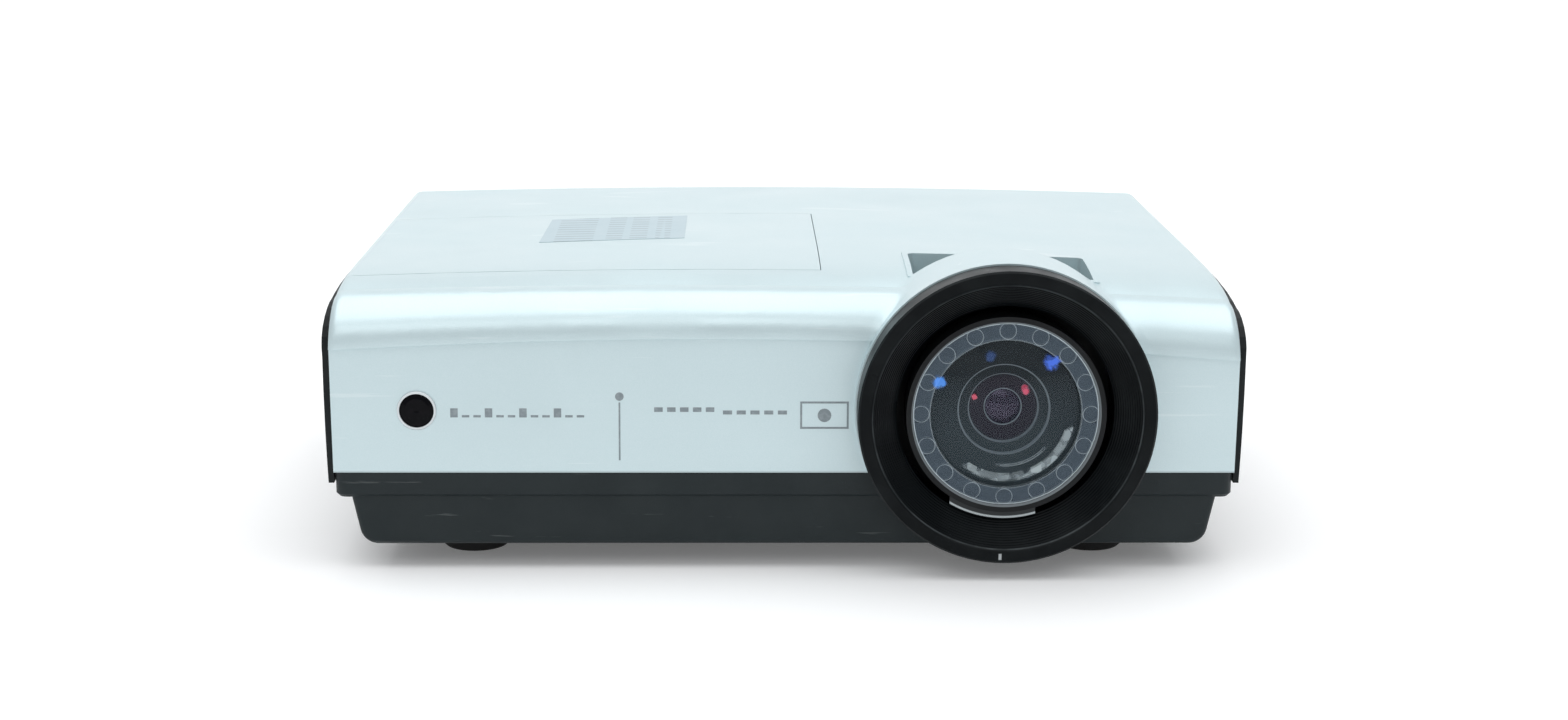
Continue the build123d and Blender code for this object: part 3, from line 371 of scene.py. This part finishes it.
def label_film():
    """Matte film printed with plain bars in place of small print."""
    paint = Paint("label_film", (0.45, 0.55, 0.59), 0.5)
    rows = paint.maths("FRACT", paint.maths("MULTIPLY", paint.across("Y"), 190.0), 0.0)
    bars = paint.between(rows, 0.3, 0.62, 0.04)
    words = paint.remap(paint.noise(150, 1, stretch=(1, 0.01, 1)), 0.46, 0.48, 0.0, 0.42)
    inside = paint.between(paint.across("X"), -0.0865, -0.0425, 0.0002)
    paint.tint(paint.maths("MULTIPLY", paint.maths("MULTIPLY", bars, words), inside), (0.2, 0.24, 0.26))
    paint.tint(paint.remap(paint.noise(40, 3), 0.5, 0.8, 0.0, 0.15), (0.44, 0.52, 0.55))
    paint.vary_rough(paint.noise(120, 3), 0.44, 0.55)
    paint.bump(paint.noise(1500, 2), 0.06, 0.00005)
    return paint.material


def print_grey():
    paint = Paint("print_grey", (0.21, 0.25, 0.27), 0.5)
    paint.tint(paint.remap(paint.noise(700, 3), 0.45, 0.7, 0.0, 0.5), (0.34, 0.39, 0.41))
    paint.vary_rough(paint.noise(300, 2), 0.42, 0.58)
    paint.bump(paint.noise(2000, 2), 0.08, 0.00003)
    return paint.material


def machined(name, colour, rough):
    paint = Paint(name, colour, rough, 1.0)
    paint.vary_rough(paint.noise(700, 3, stretch=(1, 0.05, 1)), rough - 0.08, rough + 0.1)
    paint.bump(paint.noise(3000, 2, stretch=(1, 0.05, 1)), 0.08, 0.00005)
    return paint.material


def picture_socket():
    """Plated flanges round the blue mouldings of the two picture sockets."""
    paint = Paint("picture_socket", (0.45, 0.45, 0.46), 0.34, 0.8)
    for x in (-0.046, -0.008):
        wide = paint.between(paint.across("X"), x - 0.0084, x + 0.0084, 0.0001)
        tall = paint.between(paint.across("Z"), 0.0449, 0.0531, 0.0001)
        mask = paint.maths("MULTIPLY", wide, tall)
        paint.tint(paint.maths("MULTIPLY", mask, 0.95), (0.015, 0.05, 0.22))
    paint.vary_rough(paint.noise(500, 3), 0.28, 0.42)
    paint.bump(paint.noise(2600, 2), 0.08, 0.00005)
    return paint.material


def board_green():
    paint = Paint("board_green", (0.015, 0.11, 0.045), 0.35)
    tracks = paint.cells(260, "F1")
    paint.tint(paint.remap(tracks.outputs["Color"], 0.6, 0.65, 0.0, 0.5), (0.03, 0.2, 0.08))
    paint.bump(tracks.outputs["Distance"], 0.1, 0.0002)
    return paint.material


def plain_moulding(name, colour, rough):
    paint = Paint(name, colour, rough)
    paler = tuple(min(1, part * 1.5 + 0.01) for part in colour)
    paint.tint(paint.remap(paint.noise(80, 4), 0.4, 0.8, 0.0, 0.4), paler)
    paint.vary_rough(paint.noise(120, 3), rough - 0.06, rough + 0.06)
    paint.bump(paint.noise(2400, 2), 0.15, 0.00008)
    return paint.material


def rubber():
    paint = Paint("foot_rubber", (0.014, 0.014, 0.014), 0.78)
    paint.bump(paint.noise(1600, 4, 0.7), 0.4, 0.0002)
    return paint.material


def assign(material, *names):
    for name in names:
        mesh = nodes[name].data
        mesh.materials.clear()
        mesh.materials.append(material)


def dress_nodes():
    assign(silver_paint(), "top_cover", "lamp_door")
    assign(black_grain(), "base_tray", "rear_panel")
    assign(smooth_black("panel_black", 0.4).material, "left_side_panel", "right_side_panel")
    assign(hood_black(), "lens_hood")
    assign(cell_black(), "lens_cell")
    assign(barrel_black(), "inner_barrel")
    assign(smooth_black("sleeve_black", 0.5).material, "focus_sleeve")
    assign(window_gloss(), "ir_window", "rear_ir_window")
    assign(plain_moulding("light_ring", (0.62, 0.66, 0.68), 0.3), "ir_bezel")
    assign(front_glass(), "front_lens")
    assign(clear_glass("rear_glass", (0.03, 0.022, 0.036), (0.8, 0.7, 1.0), 0.8),
           "centre_lens", "rear_lens")
    assign(clear_glass("lamp_glass", (0.1, 0.11, 0.13), (1, 1, 1)), "lamp_burner", "colour_wheel")
    assign(label_film(), "door_label")
    assign(machined("screw_steel", (0.55, 0.55, 0.56), 0.35), "door_screw", "cover_screws")
    assign(machined("cast_metal", (0.5, 0.51, 0.52), 0.42),
           "dmd_heat_sink", "lens_tube", "light_engine_case")
    assign(machined("bright_metal", (0.72, 0.73, 0.75), 0.25), "lamp_reflector", "light_tunnel")
    assign(arc_metal(), "retaining_arc")
    assign(machined("plated_metal", (0.6, 0.6, 0.62), 0.3), "hdmi_port", "colour_wheel_motor")
    assign(picture_socket(), "vga_ports")
    assign(board_green(), "main_board", "dmd_board", "power_supply", "lamp_ballast", "keypad_board")
    assign(plain_moulding("fan_plastic", (0.02, 0.02, 0.022), 0.5), "intake_fan_frame", "intake_fan_rotor",
           "exhaust_fan_frame", "exhaust_fan_rotor", "blower_case", "blower_impeller", "speaker")
    assign(plain_moulding("lamp_ceramic", (0.1, 0.1, 0.105), 0.55), "lamp_housing", "lamp_connector")
    assign(plain_moulding("socket_black", (0.02, 0.02, 0.02), 0.4), "mains_inlet", "usb_port", "lan_port",
           "rca_jacks")
    assign(plain_moulding("led_lens", (0.45, 0.6, 0.5), 0.2), "status_leds")
    assign(plain_moulding("button_grey", (0.09, 0.095, 0.1), 0.4),
           *[name for name in nodes if name.endswith("_button")])
    assign(rubber(), *[name for name in nodes if name.endswith("_foot_pad")])
    assign(plain_moulding("wheel_black", (0.02, 0.021, 0.022), 0.42),
           *[name for name in nodes if name.endswith("_foot_screw")])


# ---- printed marks, all of them plain shapes ----
def flat_marks(name, outlines, place, material):
    """Thin printed shapes. place turns (x, z) in millimetres into a point in metres."""
    form = bmesh.new()
    for outline in outlines:
        form.faces.new([form.verts.new(place(x, z)) for x, z in outline])
    mesh = bpy.data.meshes.new(name)
    form.to_mesh(mesh)
    form.free()
    piece = bpy.data.objects.new(name, mesh)
    bpy.context.scene.collection.objects.link(piece)
    mesh.materials.append(material)
    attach(piece, "housing")


def bar(x0, x1, z0, z1):
    return [(x0, z0), (x1, z0), (x1, z1), (x0, z1)]


def disc(x, z, r, sides=20):
    turns = [2 * math.pi * index / sides for index in range(sides)]
    return [(x + r * math.cos(turn), z + r * math.sin(turn)) for turn in turns]


def on_face(x, z):
    """A hair in front of the leaning front face."""
    height = z / 1000
    return x / 1000, FACE_Y + FACE_LEAN * (height - FACE_FOOT_Z) - PRINT_LIFT, height


def on_rear_panel(x, z):
    return x / 1000, REAR_PANEL_Y + PRINT_LIFT, z / 1000


def front_marks(material):
    shapes = []
    for index in range(12):
        x = -117 + 4.0 * index
        shapes.append(bar(x, x + 2.6, 55.2, 56.0) if index % 3 else bar(x, x + 2.6, 55.2, 58.4))
    shapes += [bar(-58.4, -57.8, 40.0, 60.5), disc(-58.1, 62.6, 1.5)]
    shapes += [bar(-46 + 4.5 * index, -43 + 4.5 * index, 57.2, 58.8) for index in range(5)]
    shapes += [bar(-22 + 4.8 * index, -18.8 + 4.8 * index, 56.3, 57.7) for index in range(5)]
    shapes += [bar(5, 22, 60.2, 60.9), bar(5, 22, 51.2, 51.9), bar(5, 5.7, 51.9, 60.2)]
    shapes += [bar(21.3, 22, 51.9, 60.2), disc(13.5, 56, 2.4)]
    flat_marks("front_marks", shapes, on_face, material)


def rear_marks(material):
    """A line under each socket and a plain sign over each button."""
    shapes = []
    for x, wide in ((-86, 36), (-46, 26), (-8, 26), (22, 14), (45, 12), (68, 14)):
        shapes.append(bar(x - wide / 2, x + wide / 2, 38.6, 39.2))
    for index, x in enumerate((-28, -12, 4, 20, 36)):
        shapes.append(bar(x - 1.6, x + 1.6, 81.0, 82.0) if index else disc(x, 81.5, 1.3))
    flat_marks("rear_marks", shapes, on_rear_panel, material)


# ---- stage and light ----
SWEEP_START = 1.1            # where the floor starts to rise behind the object
SWEEP_R = 1.2
SWEEP_HALF = 5.0
SWEEP_TOP = 3.2


def make_stage():
    """A pale floor that curves up into a backdrop."""
    outline = [(-4.0, 0.0), (SWEEP_START, 0.0)]
    for step in range(1, 17):
        angle = math.radians(90 * step / 16)
        outline.append((SWEEP_START + SWEEP_R * math.sin(angle), SWEEP_R * (1 - math.cos(angle))))
    outline.append((SWEEP_START + SWEEP_R, SWEEP_TOP))
    form = bmesh.new()
    left = [form.verts.new((-SWEEP_HALF, y, z)) for y, z in outline]
    right = [form.verts.new((SWEEP_HALF, y, z)) for y, z in outline]
    for index in range(len(outline) - 1):
        corners = (left[index], right[index], right[index + 1], left[index + 1])
        form.faces.new(corners).smooth = True
    mesh = bpy.data.meshes.new("floor")
    form.to_mesh(mesh)
    form.free()
    floor = bpy.data.objects.new("floor", mesh)
    bpy.context.scene.collection.objects.link(floor)
    paint = Paint("floor_white", (0.9, 0.9, 0.9), 0.7, Emission_Color=(1, 1, 1, 1), Emission_Strength=0.13)
    paint.vary_rough(paint.noise(3, 2), 0.65, 0.75)
    mesh.materials.append(paint.material)


def area_light(name, place, aim, size, glow, colour=(1, 1, 1)):
    """A softbox. glow is how bright its face looks."""
    data = bpy.data.lights.new(name, "AREA")
    data.shape = "RECTANGLE"
    data.size, data.size_y = size
    data.energy = glow * math.pi * size[0] * size[1]
    data.color = colour
    light = bpy.data.objects.new(name, data)
    bpy.context.scene.collection.objects.link(light)
    light.location = place
    light.rotation_euler = (Vector(aim) - Vector(place)).to_track_quat("-Z", "Y").to_euler()


def make_light():
    world = bpy.data.worlds.new("studio")
    world.use_nodes = True
    world.node_tree.nodes["Background"].inputs["Color"].default_value = (0.95, 0.975, 1.0, 1.0)
    world.node_tree.nodes["Background"].inputs["Strength"].default_value = 0.52
    bpy.context.scene.world = world
    area_light("top_box", (0.0, 0.1, 1.7), (0, 0.1, 0), (3.0, 2.6), 1.4, (0.98, 0.99, 1.0))
    area_light("front_box", (-0.3, -2.0, 1.5), (0, 0, 0.06), (2.0, 0.8), 1.25)


make_camera()
dress_nodes()
front_marks(print_grey())
rear_marks(print_grey())
make_stage()
make_light()
bpy.context.scene.view_settings.view_transform = "Standard"
